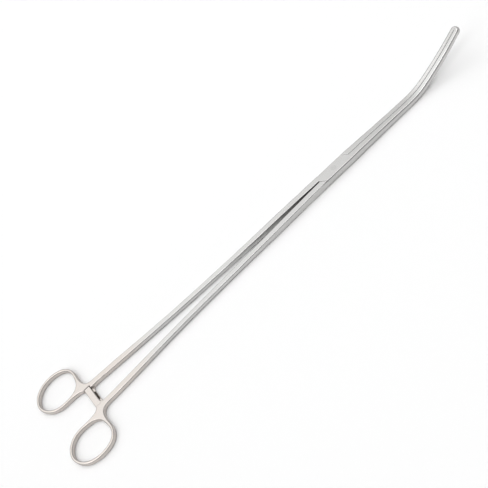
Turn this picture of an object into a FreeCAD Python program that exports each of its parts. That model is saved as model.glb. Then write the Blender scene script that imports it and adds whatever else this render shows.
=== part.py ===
import FreeCAD, Part
import math
import os

from FreeCAD import Vector

# A long curved artery clamp with a box lock, lying closed. The origin is on the hinge axis, in the plane it
# lies on. +X runs to the jaw tips, +Y to the far half's ring and +Z up. Millimetres and degrees.

# Lock: the wide block where the two halves cross. A tongue of the inset half passes between two plates.
lock_length = 29.3
lock_width = 10.0
lock_height = 6.3
lock_round = 1.15
notch_run = 4.55
wall_lead = 2.6
tongue_height = 2.2
plate_gap = 0.06
shoulder_gap = 0.12
groove_size = 0.35
pin_radius = 2.2
pin_clearance = 0.05

# Finger rings, and the neck that joins each one to its shank. A ring's front end stands over the neck.
ring_hole_length = 31.4
ring_hole_width = 25.4
ring_band = 2.05
ring_height = 4.2
ring_low_y = 12.15
forged_round = 0.7
neck_corner = (2.4, 1.92)
neck_rise = 7.2
web_run = 5.0
web_drop = 0.55
web_corner = (0.2, 0.53)

# Outline of the hole, as shares of its half length and half width. It is blunt towards the neck.
hole_shape = ((1, 0), (0.78, 0.735), (0.1, 1), (-0.63, 0.765),
              (-1, 0), (-0.6, -0.82), (0.1, -1), (0.78, -0.76))

# The ring's rim keeps one distance from the hole, from the neck round to the web: shares of the way round.
rim_start = 0.03
rim_end = 0.76
rim_count = 10

# Shank in plan, from the neck to the lock: share of its length, inner edge, outer edge.
shank_length = 224.0
shank_stations = (
    (0.9525, 7.85, 12.1),
    (0.7918, 5.925, 10.125),
    (0.631, 4.2, 8.05),
    (0.4725, 2.9, 7.0),
    (0.314, 2.0, 6.25),
    (0.157, 1.225, 5.675),
)

# Shank from the side, where it is thinnest and where it swells towards the lock: share, underside, top.
side_stations = (
    (0.631, 0.725, 4.325),
    (0.314, 0.625, 4.925),
)
crotch_gap = 0.5

# Ratchet: two bars that cross between the shanks, the inset half's over the box half's.
bar_setback = 1.65
upper_bar_width = 4.9
lower_bar_width = 6.1
bar_root_y = 7.9
bar_reach = 9.9
bar_gap = 0.1
bar_end_gap = 0.25
bar_side_gap = 0.4
bar_fillet = 2.6
bar_round = 0.45
tooth_pitch = 1.6
tooth_depth = 0.6
tooth_count = 5

# Jaws: nearly straight, then a tight bend, then a long easy curve up to the round tip.
jaw_gap = 0.1
jaw_inner_round = 0.3
bend_x = 75.0
bend_z = 2.5
bend_radius = 48.0
bend_angle = 22.5
bend_width = 8.0
bend_height = 4.9
sweep_radius = 237.0
tip_angle = 32.5
tip_width = 6.6
tip_height = 4.0
straight_steps = 7
bend_steps = 2
sweep_steps = 4

# Serrations: upright V grooves across both gripping faces.
serration_start = 4.0
serration_pitch = 1.2
serration_width = 0.8
serration_depth = 0.35

half_lock = lock_length / 2
half_width = lock_width / 2
lock_middle = lock_height / 2
ring_middle = ring_height / 2
neck_x = -half_lock - shank_length
bar_left_x = neck_x - bar_setback
ring_x = neck_x - ring_band - ring_hole_length / 2
ring_y = ring_low_y + ring_band + ring_hole_width / 2
corner_share = 1 - math.sqrt(0.5)
touching = 0.001
overrun = 1.0
beyond = 2 * lock_width


def block(corners, low_z, high_z, growth=0):
    points = [Vector(x, y, low_z) for x, y in corners]
    face = Part.Face(Part.makePolygon(points + points[:1]))
    if growth > 0:
        face = face.makeOffset2D(growth, 2)
    return face.extrude(Vector(0, 0, high_z - low_z))


def spline(points, **ends):
    line = Part.BSplineCurve()
    line.interpolate(Points=points, **ends)
    return line.toShape()


def polyline(points):
    return Part.makePolygon(points).Edges


def wire(edges):
    return Part.Wire(Part.__sortEdges__(edges))


def mirrored(shape):
    return shape.mirror(Vector(0, 0, 0), Vector(0, 1, 0))


def turned(corners):
    return [(-x, -y) for x, y in corners]


def hole_curve():
    half_x = ring_hole_length / 2
    half_y = ring_hole_width / 2
    points = [Vector(ring_x + along * half_x, ring_y + across * half_y, 0) for along, across in hole_shape]
    line = Part.BSplineCurve()
    line.interpolate(Points=points, PeriodicFlag=True)
    return line


def rim_points():
    line = hole_curve()
    whole = line.LastParameter - line.FirstParameter
    points = []
    for number in range(rim_count):
        share = rim_start + (rim_end - rim_start) * number / (rim_count - 1)
        place = line.FirstParameter + share * whole
        outward = line.tangent(place)[0].cross(Vector(0, 0, 1))
        points.append(line.value(place) + outward * ring_band)
    return points


def shank_x(share):
    return -half_lock - share * shank_length


# From the lock along the shank's outer edge, round the neck and the ring, to the root of the ratchet bar.
def outer_edge():
    neck_y = shank_stations[0][2]
    web_y = ring_low_y - web_drop
    points = [Vector(-half_lock, half_width, 0)]
    points += [Vector(shank_x(share), outer, 0) for share, inner, outer in reversed(shank_stations)]
    points.append(Vector(neck_x + neck_corner[0], neck_y + neck_corner[1], 0))
    points.append(Vector(neck_x, neck_y + neck_rise, 0))
    points += rim_points()
    points.append(Vector(bar_left_x - web_run, web_y, 0))
    corner_y = bar_root_y + web_corner[1] * (web_y - bar_root_y)
    points.append(Vector(bar_left_x - web_corner[0] * web_run, corner_y, 0))
    points.append(Vector(bar_left_x, bar_root_y, 0))
    return spline(points, InitialTangent=Vector(-1, 0, 0), FinalTangent=Vector(0, -1, 0))


def inner_edge():
    points = [Vector(shank_x(share), inner, 0) for share, inner, outer in shank_stations]
    points.append(Vector(-half_lock, crotch_gap / 2, 0))
    return spline(points)


# Side view: level at the ring, thinnest along the shank, flush underneath with the lock.
def side_view():
    rear_x = shank_x(shank_stations[0][0])
    left_x = ring_x - ring_hole_length
    unders = [(shank_x(share), under) for share, under, over in side_stations]
    overs = [(shank_x(share), over) for share, under, over in side_stations]
    low = [(rear_x, 0)] + unders + [(-half_lock, 0)]
    high = [(rear_x, ring_height)] + overs + [(-half_lock, lock_height)]
    level = Vector(1, 0, 0)
    curves = []
    for line in (low, high):
        vectors = [Vector(x, 0, z) for x, z in line]
        curves.append(spline(vectors, InitialTangent=level, FinalTangent=level))
    ring_end = [(rear_x, 0), (left_x, 0), (left_x, ring_height), (rear_x, ring_height)]
    straights = polyline([Vector(x, 0, z) for x, z in ring_end])
    straights += polyline([Vector(x, 0, z) for x, z in (low[-1], high[-1])])
    return Part.Face(wire(curves + straights))


def rear_half():
    inner_root = Vector(shank_x(shank_stations[0][0]), shank_stations[0][1], 0)
    root = [Vector(bar_left_x, bar_root_y, 0), inner_root]
    lock_end = [Vector(-half_lock, crotch_gap / 2, 0), Vector(-half_lock, half_width, 0)]
    outline = wire([outer_edge(), inner_edge()] + polyline(root) + polyline(lock_end))
    plan = Part.Face([outline, Part.Wire(hole_curve().toShape())])
    plan.validate()
    upright = plan.extrude(Vector(0, 0, lock_height))
    sideways = side_view().extrude(Vector(0, 2 * (ring_y + ring_hole_width), 0))
    rear = upright.common(sideways).Solids[0]
    long_edges = [edge for edge in rear.Edges if edge.Curve.TypeId == "Part::GeomBSplineCurve"]
    rounded = rear.makeFillet(forged_round, long_edges).Solids[0]
    return divided(rounded, (ring_x, shank_x(shank_stations[0][0])))


# The same solid with its long faces divided by upright planes across the clamp.
def divided(solid, planes):
    box = solid.BoundBox
    ends = [box.XMin - overrun, *planes, box.XMax + overrun]
    lengths = []
    for low_x, high_x in zip(ends, ends[1:]):
        corner = Vector(low_x, box.YMin - overrun, box.ZMin - overrun)
        room = Part.makeBox(high_x - low_x, box.YLength + 2 * overrun, box.ZLength + 2 * overrun, corner)
        lengths += solid.common(room).Solids
    return lengths[0].fuse(lengths[1:]).Solids[0]


# One ratchet bar of the far half, with a fillet where it meets the shank.
def bar(low_z, high_z, width, rim_z):
    right_x = bar_left_x + width
    fillet_y = bar_root_y - bar_fillet
    back_y = bar_root_y + bar_round
    start = Vector(right_x, fillet_y, low_z)
    middle = Vector(right_x + corner_share * bar_fillet, bar_root_y - corner_share * bar_fillet, low_z)
    end = Vector(right_x + bar_fillet, bar_root_y, low_z)
    corners = [(end.x, bar_root_y), (end.x, back_y), (bar_left_x, back_y), (bar_left_x, -bar_reach),
               (right_x, -bar_reach), (right_x, fillet_y)]
    sides = polyline([Vector(x, y, low_z) for x, y in corners])
    outline = wire([Part.Arc(start, middle, end).toShape()] + sides)
    solid = Part.Face(outline).extrude(Vector(0, 0, high_z - low_z))
    rims = [edge for edge in solid.Edges if on_bar_rim(edge.BoundBox, rim_z)]
    return solid.makeFillet(bar_round, rims).Solids[0]


def on_bar_rim(box, rim_z):
    level = abs(box.ZMin - rim_z) < touching and abs(box.ZMax - rim_z) < touching
    return level and box.YMin < bar_root_y - touching


# Saw-tooth grooves across a bar's inner face, each with one upright wall and one slope.
def tooth_grooves(face_z, root_z, upright_share):
    grooves = []
    left_x = bar_left_x - overrun
    across = Vector(lower_bar_width + bar_fillet, 0, 0)
    first_y = -tooth_pitch * tooth_count / 2
    for number in range(tooth_count):
        low_y = first_y + number * tooth_pitch
        root_y = low_y + upright_share * tooth_pitch
        points = [Vector(left_x, low_y, face_z), Vector(left_x, low_y + tooth_pitch, face_z),
                  Vector(left_x, root_y, root_z)]
        grooves.append(Part.Face(Part.makePolygon(points + points[:1])).extrude(across))
    return grooves


def lower_bar():
    top_z = ring_middle - bar_gap / 2
    return bar(0, top_z, lower_bar_width, 0).cut(tooth_grooves(top_z, top_z - tooth_depth, 1))


def upper_bar():
    bottom_z = ring_middle + bar_gap / 2
    solid = bar(bottom_z, ring_height, upper_bar_width, ring_height)
    return solid.cut(tooth_grooves(bottom_z, bottom_z + tooth_depth, 0))


# Room in one half for the end of the other half's bar.
def bar_room(low_z, high_z, width):
    left_x = bar_left_x - 2 * bar_fillet
    right_x = bar_left_x + width + bar_side_gap
    end_y = bar_reach + bar_end_gap
    return block([(left_x, 0), (right_x, 0), (right_x, end_y), (left_x, end_y)], low_z, high_z)


# Jaw cross-section: a flat gripping face and rounded corners, larger on the outside.
def jaw_section(width, height, x, z, angle):
    inner = jaw_gap / 2
    outer = width / 2
    half = height / 2
    corners = [(inner, half, jaw_inner_round, 1, -1), (outer, half, lock_round, -1, -1),
               (outer, -half, lock_round, -1, 1), (inner, -half, jaw_inner_round, 1, 1)]
    edges = []
    ends = []
    for number, (y, up, size, side, rise) in enumerate(corners):
        along = Vector(0, y + side * size, up)
        above = Vector(0, y, up + rise * size)
        middle = Vector(0, y + side * size * corner_share, up + rise * size * corner_share)
        start, end = (above, along) if number % 2 == 0 else (along, above)
        edges.append(Part.Arc(start, middle, end).toShape())
        ends.append((start, end))
    for number in range(len(ends)):
        edges.append(Part.makeLine(ends[number - 1][1], ends[number][0]))
    return placed(wire(edges), x, z, angle)


def placed(shape, x, z, angle):
    shape.rotate(Vector(0, 0, 0), Vector(0, 1, 0), -angle)
    shape.translate(Vector(x, 0, z))
    return shape


# Point on the jaw's centre line where its slope is the given angle.
def jaw_point(angle):
    tight = math.radians(min(angle, bend_angle))
    turn = math.radians(angle)
    x = bend_x + bend_radius * math.sin(tight) + sweep_radius * (math.sin(turn) - math.sin(tight))
    z = bend_z + bend_radius * (1 - math.cos(tight)) + sweep_radius * (math.cos(tight) - math.cos(turn))
    return x, z, angle


def jaw_stations():
    stations = []
    for step in range(straight_steps):
        share = step / straight_steps
        settle = share * share * (3 - 2 * share)
        x = half_lock + (bend_x - half_lock) * share
        stations.append((x, lock_middle + (bend_z - lock_middle) * settle, 0))
    for step in range(bend_steps):
        stations.append(jaw_point(bend_angle * step / bend_steps))
    for step in range(sweep_steps + 1):
        stations.append(jaw_point(bend_angle + (tip_angle - bend_angle) * step / sweep_steps))
    return stations


def jaw_size(x):
    if x < bend_x:
        share = (x - half_lock) / (bend_x - half_lock)
        width = lock_width + (bend_width - lock_width) * share * (2 - share)
        return width, lock_height + (bend_height - lock_height) * share
    share = (x - bend_x) / (jaw_point(tip_angle)[0] - bend_x)
    return bend_width + (tip_width - bend_width) * share, bend_height + (tip_height - bend_height) * share


def round_tip():
    x, z, angle = jaw_point(tip_angle)
    disc = Part.makeCylinder(tip_width / 2, tip_height, Vector(0, 0, -tip_height / 2))
    rims = [edge for edge in disc.Edges if edge.Curve.TypeId == "Part::GeomCircle"]
    corner = Vector(0, jaw_gap / 2, -beyond / 2)
    quarter = disc.makeFillet(lock_round, rims).common(Part.makeBox(beyond, beyond, beyond, corner))
    return placed(quarter, x, z, angle)


def serration(length):
    bend_length = bend_radius * math.radians(bend_angle)
    if length < bend_length:
        angle = math.degrees(length / bend_radius)
    else:
        angle = bend_angle + math.degrees((length - bend_length) / sweep_radius)
    half = serration_width / 2
    root_y = jaw_gap / 2 + serration_depth
    points = [Vector(-half, 0, -bend_height), Vector(half, 0, -bend_height), Vector(0, root_y, -bend_height)]
    groove = Part.Face(Part.makePolygon(points + points[:1])).extrude(Vector(0, 0, 2 * bend_height))
    return placed(groove, *jaw_point(angle))


def far_jaw():
    sections = [jaw_section(*jaw_size(x), x, z, angle) for x, z, angle in jaw_stations()]
    jaw = Part.makeLoft(sections, True, False).fuse(round_tip())
    curved = bend_radius * math.radians(bend_angle) + sweep_radius * math.radians(tip_angle - bend_angle)
    count = int((curved - serration_start) / serration_pitch)
    grooves = [serration(serration_start + number * serration_pitch) for number in range(count)]
    return jaw.cut(grooves).Solids[0]


def lock_body():
    body = Part.makeBox(lock_length, lock_width, lock_height, Vector(-half_lock, -half_width, 0))
    long_edges = [edge for edge in body.Edges if edge.BoundBox.XLength > half_lock]
    return body.makeFillet(lock_round, long_edges).Solids[0]


# Plan of the inset half's full-height rear corner: everything behind the diagonal joint line.
def shoulder_plan():
    side_y = 2 * half_width
    side_x = -half_lock + 2 * notch_run
    return [(-half_lock, 0), (side_x, -side_y), (-half_lock - beyond, -side_y), (-half_lock - beyond, 0)]


# Plan of the slot: its slanted walls run from the crotch and the jaw root to just past the hinge axis.
def slot_plan():
    side_y = half_width + beyond
    rear = [(-half_lock, 0), (-half_lock, -side_y), (wall_lead, -side_y), (wall_lead, -half_width)]
    return rear + turned(rear)


# The inset half's share of the lock: both shoulders at full height, and the tongue between the plates.
def inset_share(side_gap, level_gap):
    half_tongue = tongue_height / 2 + level_gap
    rear = block(shoulder_plan(), -overrun, lock_height + overrun, side_gap)
    front = block(turned(shoulder_plan()), -overrun, lock_height + overrun, side_gap)
    tongue = block(slot_plan(), lock_middle - half_tongue, lock_middle + half_tongue, side_gap)
    return rear.fuse([front, tongue])


# Shallow V grooves that follow the diagonal joint lines on the top and bottom faces.
def joint_grooves():
    turn = -math.degrees(math.atan2(half_width, notch_run))
    length = math.hypot(notch_run, half_width) + groove_size
    grooves = []
    for face_z, inward in ((lock_height, -groove_size), (0, groove_size)):
        points = [Vector(0, -2 * groove_size, face_z - inward), Vector(0, 2 * groove_size, face_z - inward),
                  Vector(0, 0, face_z + inward)]
        rear = Part.Face(Part.makePolygon(points + points[:1])).extrude(Vector(length, 0, 0))
        rear.rotate(Vector(0, 0, 0), Vector(0, 0, 1), turn)
        rear.translate(Vector(-half_lock, 0, 0))
        front = rear.copy()
        front.rotate(Vector(0, 0, 0), Vector(0, 0, 1), 180)
        grooves += [rear, front]
    return grooves


def pin(radius):
    return Part.makeCylinder(radius, lock_height)


def box_half(rear, jaw):
    lock = lock_body().cut(inset_share(shoulder_gap, plate_gap)).cut([pin(pin_radius)] + joint_grooves())
    room = bar_room(ring_middle - bar_gap / 2, lock_height, upper_bar_width)
    return lock.fuse([rear.cut(room).fuse(lower_bar()), mirrored(jaw)])


def inset_half(rear, jaw):
    hole = pin(pin_radius + pin_clearance)
    lock = lock_body().common(inset_share(0, 0)).cut([hole] + joint_grooves())
    room = bar_room(-overrun, ring_middle + bar_gap / 2, lower_bar_width)
    return lock.fuse([mirrored(rear.cut(room).fuse(upper_bar())), jaw])


os.makedirs("parts", exist_ok=True)
far_rear = rear_half()
upper_jaw = far_jaw()
pieces = {
    "box_half": box_half(far_rear, upper_jaw),
    "inset_half": inset_half(far_rear, upper_jaw),
    "pivot_pin": pin(pin_radius),
}
for name, shape in pieces.items():
    print(name, len(shape.Solids), len(shape.Faces), round(shape.Volume, 1), shape.isValid())
    shape.Solids[0].exportStep("parts/" + name + ".step")
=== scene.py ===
import math
import bpy
from mathutils import Matrix, Vector


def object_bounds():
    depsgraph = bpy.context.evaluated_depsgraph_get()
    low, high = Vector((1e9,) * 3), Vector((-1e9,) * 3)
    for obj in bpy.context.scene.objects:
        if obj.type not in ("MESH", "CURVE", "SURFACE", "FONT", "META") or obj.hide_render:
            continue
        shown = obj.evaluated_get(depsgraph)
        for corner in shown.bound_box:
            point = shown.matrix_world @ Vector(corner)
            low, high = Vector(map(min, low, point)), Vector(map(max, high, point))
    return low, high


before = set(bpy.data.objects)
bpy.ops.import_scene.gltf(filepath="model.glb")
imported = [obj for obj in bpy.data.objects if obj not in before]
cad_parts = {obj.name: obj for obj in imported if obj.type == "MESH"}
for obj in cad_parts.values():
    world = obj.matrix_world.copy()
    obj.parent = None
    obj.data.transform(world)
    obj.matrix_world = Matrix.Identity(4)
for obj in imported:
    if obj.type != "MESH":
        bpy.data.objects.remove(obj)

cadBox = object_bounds()
print("frame loaded:", sorted(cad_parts))


# one value in a node tree; sums and products of it become Math nodes
class Value:
    def __init__(self, shader, socket):
        self.shader = shader
        self.socket = socket

    def maths(self, operation, first, second, clamp=False):
        settings = {"operation": operation, "use_clamp": clamp}
        return self.shader.node("ShaderNodeMath", settings, {0: first, 1: second})

    def __add__(self, other):
        return self.maths("ADD", self, other)

    def __radd__(self, other):
        return self.maths("ADD", other, self)

    def __sub__(self, other):
        return self.maths("SUBTRACT", self, other)

    def __rsub__(self, other):
        return self.maths("SUBTRACT", other, self)

    def __mul__(self, other):
        return self.maths("MULTIPLY", self, other)

    def __rmul__(self, other):
        return self.maths("MULTIPLY", other, self)

    def __abs__(self):
        return self.maths("ABSOLUTE", self, 0.0)

    def clamped(self):
        return self.maths("ADD", self, 0.0, clamp=True)


class Shader:
    def __init__(self, tree):
        self.tree = tree
        self.tree.nodes.clear()

    # a node by type: settings first, then the values or links of its sockets
    def node(self, kind, settings=None, inputs=None, output=0):
        made = self.tree.nodes.new(kind)
        for key, value in (settings or {}).items():
            if key == "stops":
                self.rampStops(made.color_ramp, value)
            else:
                setattr(made, key, value)
        for key, value in (inputs or {}).items():
            if isinstance(value, Value):
                self.tree.links.new(value.socket, made.inputs[key])
            else:
                made.inputs[key].default_value = value
        if not made.outputs:
            return None
        return Value(self, made.outputs[output])

    def rampStops(self, ramp, stops):
        while len(ramp.elements) < len(stops):
            ramp.elements.new(0.5)
        for element, (place, level) in zip(ramp.elements, stops):
            element.position = place
            element.color = (level, level, level, 1.0)

    # a value that runs from low to high as the mask goes from 0 to 1
    def between(self, mask, low, high):
        return low + mask * (high - low)

    # a smooth step from the first level to the second as the value crosses the span
    def step(self, value, span, levels):
        return self.node("ShaderNodeMapRange", {"interpolation_type": "SMOOTHSTEP"},
                         {"Value": value, "From Min": span[0], "From Max": span[1],
                          "To Min": levels[0], "To Max": levels[1]})

    def mixColours(self, mask, low, high, blend="MIX"):
        settings = {"data_type": "RGBA", "blend_type": blend}
        return self.node("ShaderNodeMix", settings, {0: mask, 6: low, 7: high}, 2)

    # one component of a vector: 0 for X, 1 for Y, 2 for Z
    def axis(self, vector, index):
        return self.node("ShaderNodeSeparateXYZ", None, {0: vector}, index)

    def noise(self, where, grain):
        return self.node("ShaderNodeTexNoise", None, {"Vector": where, **grain})


def newMaterial(name):
    material = bpy.data.materials.new(name)
    material.use_nodes = True
    return material, Shader(material.node_tree)


# The steel that all three pieces are made of. Lengths are metres, and scales are per metre.
steel = {
    "ringColour": (0.74, 0.69, 0.65, 1.0),
    # painted shade in recesses: its colour and how much of it is mixed in
    "paintedRecessShadeColour": (0.09, 0.087, 0.083, 1.0),
    "paintedRecessShadeShare": 0.85,
    "recess": 0.0011,  # how near the facing wall stands in a recess
    "recessSamples": 8,
    "recessShadeSpan": (0.68, 0.28),  # from no painted shade to full, by how open the spot is
    "roughness": (0.11, 0.19),
    "clouds": {"Scale": 55.0, "Detail": 3.0, "Roughness": 0.5},
    "cloudShare": 0.55,  # of the roughness pattern, the rest is brush marks
    "brush": {"Scale": 1.0, "Detail": 4.0, "Roughness": 0.55},
    "brushStretch": (45.0, 1500.0, 1500.0),
    "brushBump": 0.000004,
    "blast": {"Scale": 2600.0, "Detail": 2.0, "Roughness": 0.6},
    "blastBump": 0.000006,
    "sideSlope": (0.86, 0.5),  # upward part of the normal, from a top to a side
    "sideRoughness": 0.22,
    # painted shade: the colour is multiplied by this ramp on the upward part of the normal, darkest on
    # the rounded edges
    "paintedSlopeShade": ((0.0, 0.82), (0.2, 0.76), (0.48, 0.46), (0.7, 0.6), (0.9, 1.0)),
    "ringEnd": (-0.17, -0.21),  # X where the warmer ring end starts and where it is full
}
halves = {"colour": (0.72, 0.715, 0.705, 1.0), "warmth": 1.0}
rivet = {"colour": (0.69, 0.685, 0.675, 1.0), "warmth": 0.0}


def steelMaterial(name, piece):
    material, shader = newMaterial(name)
    where = shader.node("ShaderNodeTexCoord", output=3)
    stretched = shader.node("ShaderNodeVectorMath", {"operation": "MULTIPLY"},
                            {0: where, 1: steel["brushStretch"]})
    brush = shader.noise(stretched, steel["brush"])
    clouds = shader.noise(where, steel["clouds"])
    blast = shader.noise(where, steel["blast"])
    # the tops are ground and brushed and the sides rougher; the colour also carries painted shade by
    # slope, darkest where the edges round over
    upward = abs(shader.axis(shader.node("ShaderNodeNewGeometry", output=1), 2))
    side = shader.step(upward, steel["sideSlope"], (0.0, 1.0))
    pattern = (steel["cloudShare"] * clouds + (1.0 - steel["cloudShare"]) * brush).clamped()
    roughness = shader.between(pattern, *steel["roughness"]) + side * steel["sideRoughness"]
    # the forged ring end is a touch warmer than the ground jaws
    ringEnd = shader.step(shader.axis(where, 0), steel["ringEnd"], (0.0, 1.0))
    tone = shader.mixColours(ringEnd * piece["warmth"], piece["colour"], steel["ringColour"])
    # painted shade: darker colour on the sides and the rounded edges, by slope alone
    shade = shader.node("ShaderNodeValToRGB", {"stops": steel["paintedSlopeShade"]}, {0: upward})
    tone = shader.mixColours(1.0, tone, shade, "MULTIPLY")
    # painted shade: the colour darkens in grooves, teeth and the joint line where ambient occlusion finds
    # a near wall
    openness = shader.node("ShaderNodeAmbientOcclusion", {"samples": steel["recessSamples"]},
                           {"Distance": steel["recess"]}, 1)
    paintedRecessShade = shader.step(openness, steel["recessShadeSpan"], (0.0, 1.0))
    tone = shader.mixColours(paintedRecessShade * steel["paintedRecessShadeShare"], tone, steel["paintedRecessShadeColour"])
    brushed = shader.node("ShaderNodeBump", None,
                          {"Strength": 1.0, "Distance": steel["brushBump"], "Height": brush})
    blasted = shader.node("ShaderNodeBump", None,
                          {"Strength": 1.0, "Distance": steel["blastBump"], "Height": blast,
                           "Normal": brushed})
    surface = shader.node("ShaderNodeBsdfPrincipled", None, {
        "Base Color": tone, "Metallic": 1.0, "Roughness": roughness, "Normal": blasted})
    shader.node("ShaderNodeOutputMaterial", None, {"Surface": surface})
    return material


def dress(node, material):
    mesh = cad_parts[node].data
    mesh.materials.clear()
    mesh.materials.append(material)


satinSteel = steelMaterial("satinSteel", halves)
pinSteel = steelMaterial("pinSteel", rivet)
dress("box_half", satinSteel)
dress("inset_half", satinSteel)
dress("pivot_pin", pinSteel)
print("steel dressed")


# Plain white floor: white for the camera and in the steel, a softer bounce for the rest.
floor = {"size": 30.0, "drop": 0.00002, "seen": (1.0, 1.0, 1.0, 1.0), "bounce": (0.8, 0.8, 0.8, 1.0)}


def layFloor():
    half = floor["size"] / 2
    mesh = bpy.data.meshes.new("floor")
    corners = [(-half, -half, 0), (half, -half, 0), (half, half, 0), (-half, half, 0)]
    mesh.from_pydata(corners, [], [(0, 1, 2, 3)])
    plane = bpy.data.objects.new("floor", mesh)
    bpy.context.scene.collection.objects.link(plane)
    plane.location = (0, 0, min(cadBox[0][2], 0) - floor["drop"])
    material, shader = newMaterial("floorPaper")
    camera = shader.node("ShaderNodeLightPath", output=0)
    glossy = shader.node("ShaderNodeLightPath", output=3)
    through = shader.node("ShaderNodeLightPath", output=6)
    tone = shader.mixColours((camera + glossy + through).clamped(), floor["bounce"], floor["seen"])
    paper = shader.node("ShaderNodeBsdfDiffuse", None, {"Color": tone})
    shader.node("ShaderNodeOutputMaterial", None, {"Surface": paper})
    mesh.materials.append(material)


layFloor()

# Room light by height, bright overhead and stronger towards the rings. A long softbox hangs just in front
# of the clamp, and beyond it that side of the room is dark: the rounded edges mirror the two as a bright
# band and a thin dark line. A low white wall stands all round the floor.
room = {
    "strength": 2.7,
    "levels": ((0.0, 0.02), (0.35, 0.07), (0.66, 0.28), (0.8, 0.345), (1.0, 0.355)),
    "leastLight": 0.14,
    "ringSide": 0.62,
    "softbox": (-0.12, -0.22),  # Y of the direction, from its edge to full
    "softboxGain": 2.6,
    "darkSide": (-0.34, -0.5),
    "darkLevel": 0.04,
    "wallTop": (0.17, 0.12),  # Z of the direction, from clear of the wall to on it
    "wallLight": 1.0,
}


def lightRoom():
    world = bpy.data.worlds.new("studioRoom")
    bpy.context.scene.world = world
    world.use_nodes = True
    shader = Shader(world.node_tree)
    direction = shader.node("ShaderNodeTexCoord", output=0)
    along, across, height = [shader.axis(direction, index) for index in range(3)]
    level = shader.node("ShaderNodeValToRGB", {"stops": room["levels"]}, {0: height})
    lit = shader.step(across, room["darkSide"], (1.0, room["darkLevel"]))
    box = shader.step(across, room["softbox"], (1.0, room["softboxGain"]))
    towardsRings = 1.0 - room["ringSide"] * along
    glow = room["strength"] * towardsRings * level * box * lit + room["leastLight"]
    wall = shader.step(height, room["wallTop"], (0.0, 1.0))
    total = shader.between(wall, glow, room["wallLight"])
    sky = shader.node("ShaderNodeBackground", None, {"Color": (1.0, 1.0, 1.0, 1.0), "Strength": total})
    shader.node("ShaderNodeOutputWorld", None, {"Surface": sky})


lightRoom()

# Lamps that the steel doesn't mirror: the back one lays the soft shadow in front, the front one thins it.
lamps = (
    {"name": "backLamp", "at": (-0.15, 0.5, 1.0), "aim": (-0.06, 0.0, 0.0), "size": 0.8, "watts": 1.1,
     "mirrored": False},
    {"name": "frontFill", "at": (0.25, -0.55, 0.75), "aim": (0.0, 0.0, 0.0), "size": 1.2, "watts": 0.4,
     "mirrored": False},
)


def hangLamp(lamp):
    data = bpy.data.lights.new(lamp["name"], "AREA")
    data.shape = "DISK"
    data.size = lamp["size"]
    data.energy = lamp["watts"]
    lampObject = bpy.data.objects.new(lamp["name"], data)
    bpy.context.scene.collection.objects.link(lampObject)
    lampObject.location = lamp["at"]
    lampObject.visible_glossy = lamp["mirrored"]
    away = Vector(lamp["aim"]) - Vector(lamp["at"])
    lampObject.rotation_euler = away.to_track_quat("-Z", "Y").to_euler()


for lamp in lamps:
    hangLamp(lamp)
print("floor and lamps placed")

# The camera's places in metres, its roll in degrees, its lens and sensor in millimetres.
view = {
    "at": (-0.13679, -0.39448, 0.5056),
    "aim": (-0.08509, 0.00712, 0.0042),
    "roll": 37.536,
    "lens": 65.562,
    "sensor": 36.0,
    "nearest": 0.01,
}


def placeCamera():
    data = bpy.data.cameras.new("productCamera")
    data.lens = view["lens"]
    data.sensor_width = view["sensor"]
    data.clip_start = view["nearest"]
    camera = bpy.data.objects.new("productCamera", data)
    bpy.context.scene.collection.objects.link(camera)
    away = Vector(view["aim"]) - Vector(view["at"])
    facing = away.to_track_quat("-Z", "Y").to_matrix().to_4x4()
    turned = facing @ Matrix.Rotation(-math.radians(view["roll"]), 4, "Z")
    camera.matrix_world = Matrix.Translation(view["at"]) @ turned
    bpy.context.scene.camera = camera


placeCamera()
bpy.context.scene.view_settings.view_transform = "Standard"
print("camera placed")
